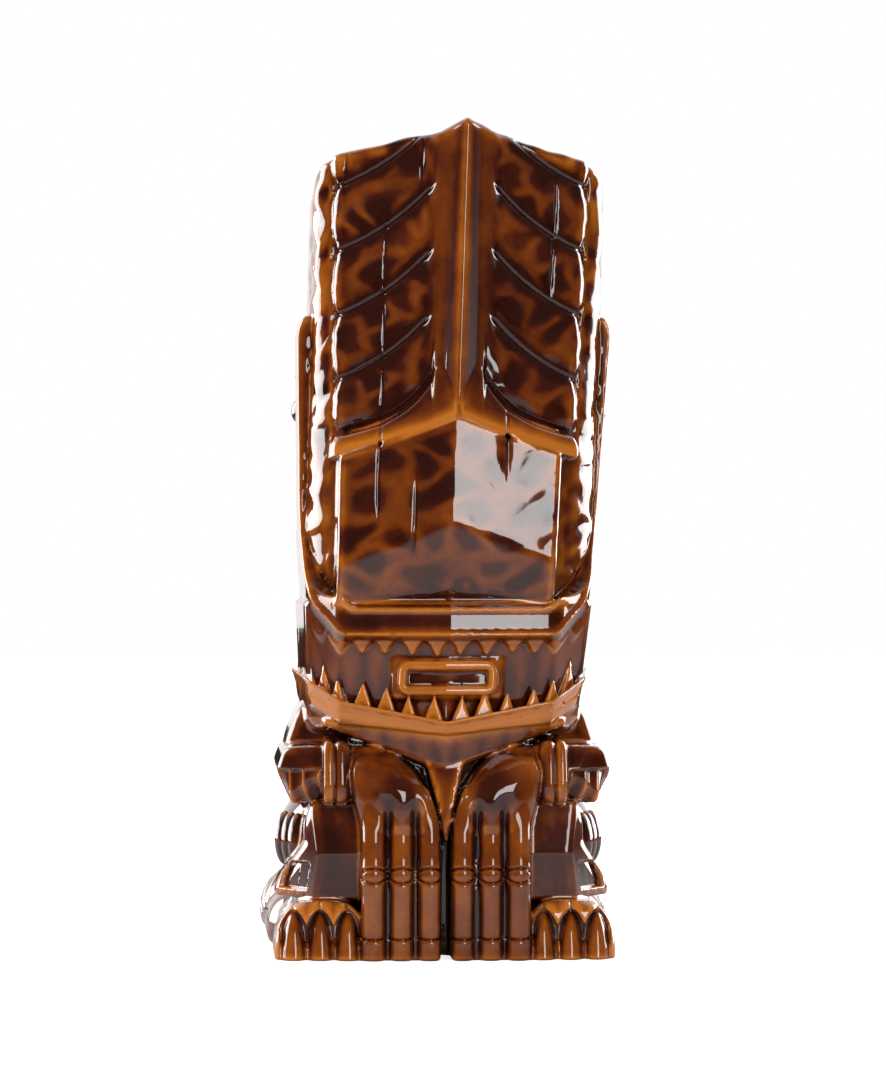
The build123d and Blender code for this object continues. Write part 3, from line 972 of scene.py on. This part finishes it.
# ---- meshing: one vertex per crossed cell, then pulled onto the surface ----
def surface_net(values, low, step):
    inside = values < 0
    nx, ny, nz = (n - 1 for n in values.shape)
    corners = [(i, j, k) for i in (0, 1) for j in (0, 1) for k in (0, 1)]
    count = np.zeros((nx, ny, nz), np.int8)
    for i, j, k in corners:
        count += inside[i:i + nx, j:j + ny, k:k + nz]
    active = (count > 0) & (count < 8)
    cells = np.argwhere(active)
    index = np.full(active.shape, -1, np.int32)
    index[active] = np.arange(len(cells))
    corner_values = {c: values[tuple((cells + c).T)] for c in corners}
    total = np.zeros((len(cells), 3))
    hits = np.zeros(len(cells))
    for a in corners:
        for axis in range(3):
            if a[axis]:
                continue
            b = tuple(1 if n == axis else a[n] for n in range(3))
            va, vb = corner_values[a], corner_values[b]
            crossed = (va < 0) != (vb < 0)
            share = np.where(crossed, va / np.where(va == vb, 1, va - vb), 0)
            place = np.array(a, float)[None, :] + share[:, None] * (np.array(b) - np.array(a))[None, :]
            total += np.where(crossed[:, None], place, 0)
            hits += crossed
    points = (cells + total / hits[:, None]) * step + low
    quads = []
    for axis in range(3):
        first = inside[tuple(slice(0, -1) if n == axis else slice(1, -1) for n in range(3))]
        last = inside[tuple(slice(1, None) if n == axis else slice(1, -1) for n in range(3))]
        u, v = [n for n in range(3) if n != axis]
        for forward in (True, False):
            spots = np.argwhere((first & ~last) if forward else (~first & last))
            if not len(spots):
                continue
            spots[:, u] += 1
            spots[:, v] += 1
            ring = []
            for du, dv in ((-1, -1), (0, -1), (0, 0), (-1, 0)):
                cell = spots.copy()
                cell[:, u] += du
                cell[:, v] += dv
                ring.append(index[tuple(cell.T)])
            order = ring if forward != (axis == 1) else ring[::-1]
            quads.append(np.stack(order, 1))
    return points, np.concatenate(quads)


def build_mesh(piece):
    """The piece's closed mesh, with its glaze thickness at every vertex."""
    members = near(piece)
    counts = np.ceil((piece.high - piece.low) / piece.step).astype(int) + 1
    axes = [piece.low[n] + piece.step * np.arange(counts[n]) for n in range(3)]
    x, f, z = (g.astype(np.float32) for g in np.meshgrid(*axes, indexing="ij"))
    rough = piece.shape(x, f, z)
    values = np.where(rough > 0, CLEAR, -CLEAR).astype(np.float32)
    margin = SKIN + 2 * piece.step
    band = np.abs(rough) < margin
    band |= np.abs(cavity(x, f, z)) < LINING + OVERLAP + 2 * piece.step
    band |= np.abs(rim(x, f, z)) < 2 * piece.step
    band &= rough < margin
    inner = ~band & (rough < 0)
    values[band] = owned(x[band], f[band], z[band], members, piece)
    cut = np.maximum(-cavity(x[inner], f[inner], z[inner]), rim(x[inner], f[inner], z[inner]))
    values[inner] = np.maximum(values[inner], np.where(cut > 0, CLEAR, -CLEAR))
    points, quads = surface_net(values, piece.low, piece.step)

    def field(*p):
        return owned(*(c.astype(np.float32) for c in p), members, piece)

    stray = 0.96 * piece.step
    start = points.copy()
    for _ in range(3):
        value, slope = gradient(field, points)
        move = -value[:, None] * slope / np.maximum((slope ** 2).sum(1), 0.2)[:, None]
        points = points + np.clip(move, -PULL, PULL)
        points = start + np.clip(points - start, -stray, stray)
    _, slope = gradient(field, points)
    normals = slope / np.maximum(np.linalg.norm(slope, axis=1), 1e-6)[:, None]
    return points, quads, normals, glaze_depth(points, normals, members, piece)


def glaze_depth(points, normals, members, piece):
    """(crease, edge, stain): how much each point lies in a hollow, on an edge, or in a dark pool."""
    def field(p):
        return whole(*p.astype(np.float32).T, members)[0]

    def hollow(d):
        return np.clip(1.0 - field(points + normals * d) / d, -0.2, 1.5)

    def sharp(d):
        return np.clip(1.0 + field(points - normals * d) / d, -0.2, 1.5)

    crease = 0.4 * hollow(0.8) + 0.6 * hollow(2.4)
    edge = 0.5 * sharp(0.9) + 0.5 * sharp(2.4)
    stain = piece.stain(*points.T) if piece.stain else np.zeros(len(points))
    _, claim = whole(*points.T.astype(np.float32), members, piece)
    stain = stain * fade(cavity(*points.T), 1.0, 3.0) * fade(-claim, OVERLAP, OVERLAP + 1.0)
    return crease, edge, stain


def add_piece(piece, built, materials):
    points, quads, normals, (crease, edge, stain) = built
    used = np.unique(quads)
    order = np.full(len(points), -1)
    order[used] = np.arange(len(used))
    points, normals, quads = points[used], normals[used], order[quads]
    place = np.stack([points[:, 0], -points[:, 1], points[:, 2]], 1) / 1000
    facing = np.stack([normals[:, 0], -normals[:, 1], normals[:, 2]], 1)
    corner = place[quads]
    face = np.cross(corner[:, 2] - corner[:, 0], corner[:, 3] - corner[:, 1])
    if (face * facing[quads[:, 0]]).sum() < 0:
        quads = quads[:, ::-1]
    mesh = bpy.data.meshes.new(piece.name)
    mesh.from_pydata(place.tolist(), [], quads.tolist())
    mesh.update()
    mesh.polygons.foreach_set("use_smooth", np.ones(len(mesh.polygons), bool))
    mesh.normals_split_custom_set_from_vertices(facing.tolist())
    for name, values in (("crease", crease), ("edge", edge), ("stain", stain)):
        layer = mesh.attributes.new(name, "FLOAT", "POINT")
        layer.data.foreach_set("value", values[used].astype(np.float32))
    mesh.materials.append(materials[piece.slot])
    obj = bpy.data.objects.new(piece.name, mesh)
    bpy.context.scene.collection.objects.link(obj)
    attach(obj, "root")
    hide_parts(*piece.nodes)
    return obj


# ---- materials ----
WHITE = (1, 1, 1, 1)
GLAZE_DEPTH = 0.56  # of the glaze on a flat face; 0 is thin and amber, 1 is pooled and near black
GLAZE_FORM = (("crease", 0.52), ("edge", -1.15), ("stain", 0.34))  # what each mark adds to the depth
GLAZE_CLOUDS = ((48.0, 0.5), (150.0, 0.35), (600.0, 0.08))  # noise per metre, and how much it adds
GLAZE_DEEPEST = 0.9
GLAZE_COLOURS = (
    (0.0, (0.578, 0.171, 0.017)),
    (0.25, (0.352, 0.091, 0.006)),
    (0.45, (0.205, 0.042, 0.0037)),
    (0.7, (0.07, 0.0097, 0.0024)),
    (1.0, (0.0116, 0.0018, 0.0012)),
)
CLAY_COLOURS = ((0.35, (0.38, 0.26, 0.17)), (0.62, (0.66, 0.52, 0.38)))
FLOOR_GLOW = 0.80  # added to the floor that the camera sees, so that it is as white as the sweep behind


def feed(tree, item, socket):
    """Link a socket to another node's output, or set it to a number or colour."""
    if isinstance(item, bpy.types.NodeSocket):
        tree.links.new(item, socket)
    else:
        socket.default_value = item


def shader_node(tree, kind, **inputs):
    node = tree.nodes.new("ShaderNode" + kind)
    for name, item in inputs.items():
        feed(tree, item, node.inputs[name.replace("_", " ")])
    return node


def new_material(name):
    material = bpy.data.materials.new(name)
    material.use_nodes = True
    material.node_tree.nodes.clear()
    return material, material.node_tree


def noise(tree, scale, detail):
    place = shader_node(tree, "TexCoord").outputs["Object"]
    return shader_node(tree, "TexNoise", Vector=place, Scale=scale, Detail=detail).outputs["Fac"]


def colour_ramp(tree, factor, stops):
    ramp = shader_node(tree, "ValToRGB", Fac=factor)
    elements = ramp.color_ramp.elements
    elements[0].position, elements[1].position = stops[0][0], stops[-1][0]
    for position, _ in stops[1:-1]:
        elements.new(position)
    for element, (_, colour) in zip(elements, stops):
        element.color = (*colour, 1)
    return ramp.outputs["Color"]


def make_glaze():
    """Honey glaze: thin and amber on the edges, brown where it lies, near black where it pools."""
    material, tree = new_material("honey_glaze")

    def attribute(name):
        node = shader_node(tree, "Attribute")
        node.attribute_name = name
        return node.outputs["Fac"]

    def math_node(operation, *items):
        node = shader_node(tree, "Math")
        node.operation = operation
        for item, socket in zip(items, node.inputs):
            feed(tree, item, socket)
        return node.outputs[0]

    depth = GLAZE_DEPTH
    for name, weight in GLAZE_FORM:
        depth = math_node("MULTIPLY_ADD", attribute(name), weight, depth)
    for scale, weight in GLAZE_CLOUDS:
        cloud = math_node("SUBTRACT", noise(tree, scale, 2.0), 0.5)
        depth = math_node("MULTIPLY_ADD", cloud, weight, depth)
    depth = math_node("MINIMUM", depth, GLAZE_DEEPEST)
    ripple = shader_node(tree, "Bump", Height=noise(tree, 140.0, 1.0), Strength=0.12, Distance=0.0004)
    shader = shader_node(
        tree,
        "BsdfPrincipled",
        Base_Color=colour_ramp(tree, depth, GLAZE_COLOURS),
        Roughness=0.07,
        IOR=1.55,
        Coat_Weight=0.6,
        Coat_Roughness=0.02,
        Normal=ripple.outputs["Normal"],
    )
    shader_node(tree, "OutputMaterial", Surface=shader.outputs["BSDF"])
    return material


def make_clay():
    """Bare, sanded stoneware under the foot."""
    material, tree = new_material("bare_clay")
    grit = noise(tree, 900.0, 4.0)
    rough = shader_node(tree, "Bump", Height=grit, Strength=0.5, Distance=0.0003)
    shader = shader_node(
        tree,
        "BsdfPrincipled",
        Base_Color=colour_ramp(tree, grit, CLAY_COLOURS),
        Roughness=0.85,
        Normal=rough.outputs["Normal"],
    )
    shader_node(tree, "OutputMaterial", Surface=shader.outputs["BSDF"])
    return material


# ---- stage, light and camera ----
def seen_and_lit(tree, seen, lit):
    """One shader for what the camera sees directly, another for what reaches it by way of the figure."""
    path = shader_node(tree, "LightPath")
    mix = shader_node(tree, "MixShader", Fac=path.outputs["Is Camera Ray"])
    tree.links.new(lit, mix.inputs[1])
    tree.links.new(seen, mix.inputs[2])
    return mix.outputs["Shader"]


def make_stage():
    """A white sweep, lit so evenly that no horizon shows to the camera; in reflections and bounced light
    the floor carries a painted pool of light, pale under the figure and near black further out.
    """
    material, tree = new_material("white_sweep")
    paper = shader_node(tree, "BsdfDiffuse", Color=(0.86, 0.85, 0.84, 1))
    glow = shader_node(tree, "Emission", Color=WHITE, Strength=FLOOR_GLOW)
    both = shader_node(tree, "AddShader")
    tree.links.new(paper.outputs["BSDF"], both.inputs[0])
    tree.links.new(glow.outputs["Emission"], both.inputs[1])
    away = shader_node(tree, "VectorMath")
    away.operation = "LENGTH"
    tree.links.new(shader_node(tree, "TexCoord").outputs["Object"], away.inputs[0])
    # Painted pool of light: for reflections and bounced light, the floor's colour fades from 0.5 under the
    # figure to 0.03 further out.
    painted_light_pool = shader_node(tree, "MapRange", Value=away.outputs["Value"], From_Min=0.24, From_Max=0.42,
                       To_Min=0.5, To_Max=0.03)
    floor_with_painted_pool = shader_node(tree, "BsdfDiffuse", Color=painted_light_pool.outputs["Result"])
    surface = seen_and_lit(tree, both.outputs["Shader"], floor_with_painted_pool.outputs["BSDF"])
    shader_node(tree, "OutputMaterial", Surface=surface)
    half = 3.0
    corners = [(-half, -half, 0), (half, -half, 0), (half, half, 0), (-half, half, 0)]
    mesh = bpy.data.meshes.new("floor")
    mesh.from_pydata(corners, [], [(0, 1, 2, 3)])
    mesh.materials.append(material)
    floor = bpy.data.objects.new("floor", mesh)
    bpy.context.scene.collection.objects.link(floor)


def add_light(name, azimuth, height, distance, size, power, glossy=True):
    """Area light at an azimuth in degrees, 0 in front of the figure and positive to its right."""
    data = bpy.data.lights.new(name, "AREA")
    data.shape = "RECTANGLE"
    data.size, data.size_y = size
    data.energy = power
    lamp = bpy.data.objects.new(name, data)
    turn = math.radians(azimuth)
    lamp.location = (distance * math.sin(turn), -distance * math.cos(turn), height)
    lamp.rotation_euler = (Vector((0, 0, 0.1)) - lamp.location).to_track_quat("-Z", "Y").to_euler()
    lamp.visible_glossy = glossy
    bpy.context.scene.collection.objects.link(lamp)


def make_lights():
    add_light("softbox_right", 16.8, 0.30, 0.90, (0.277, 0.70), 3.6)
    add_light("key_left", -35, 0.75, 1.30, (0.7, 0.7), 10.0, glossy=False)
    add_light("rim_left", -118, 0.20, 0.90, (0.8, 1.0), 15.0)
    add_light("rim_right", 124, 0.20, 0.90, (0.8, 1.0), 15.0)


def make_world():
    """White to the camera; for light and reflections, dark in front of the figure and bright behind."""
    world = bpy.data.worlds.new("studio")
    bpy.context.scene.world = world
    world.use_nodes = True
    tree = world.node_tree
    tree.nodes.clear()
    seen = shader_node(tree, "Background", Color=WHITE, Strength=1.0)
    split = shader_node(tree, "SeparateXYZ", Vector=shader_node(tree, "TexCoord").outputs["Generated"])
    behind = shader_node(tree, "MapRange", Value=split.outputs["Y"], From_Min=-0.12, From_Max=0.45,
                         To_Min=0.05, To_Max=1.0)
    behind.interpolation_type = "SMOOTHSTEP"
    lit = shader_node(tree, "Background", Color=WHITE, Strength=behind.outputs["Result"])
    surface = seen_and_lit(tree, seen.outputs["Background"], lit.outputs["Background"])
    shader_node(tree, "OutputWorld", Surface=surface)


def make_camera():
    distance, turn, eye, aside = 1.150, math.radians(-3.0), 0.0995, 0.00126
    data = bpy.data.cameras.new("camera")
    data.lens = 156.7
    data.sensor_width = 36.0
    camera = bpy.data.objects.new("camera", data)
    camera.location = (distance * math.sin(turn) + aside * math.cos(turn),
                       -distance * math.cos(turn) + aside * math.sin(turn), eye)
    camera.rotation_euler = (math.radians(90), 0, turn)
    bpy.context.scene.collection.objects.link(camera)
    bpy.context.scene.camera = camera


def make_figure():
    build_pieces()
    materials = {"honey_glaze": make_glaze(), "bare_clay": make_clay()}
    with ThreadPoolExecutor(4) as pool:
        for piece, built in zip(PIECES, pool.map(build_mesh, PIECES)):
            add_piece(piece, built, materials)


make_camera()
make_figure()
make_stage()
make_lights()
make_world()
bpy.context.scene.view_settings.view_transform = "Standard"
save_size()
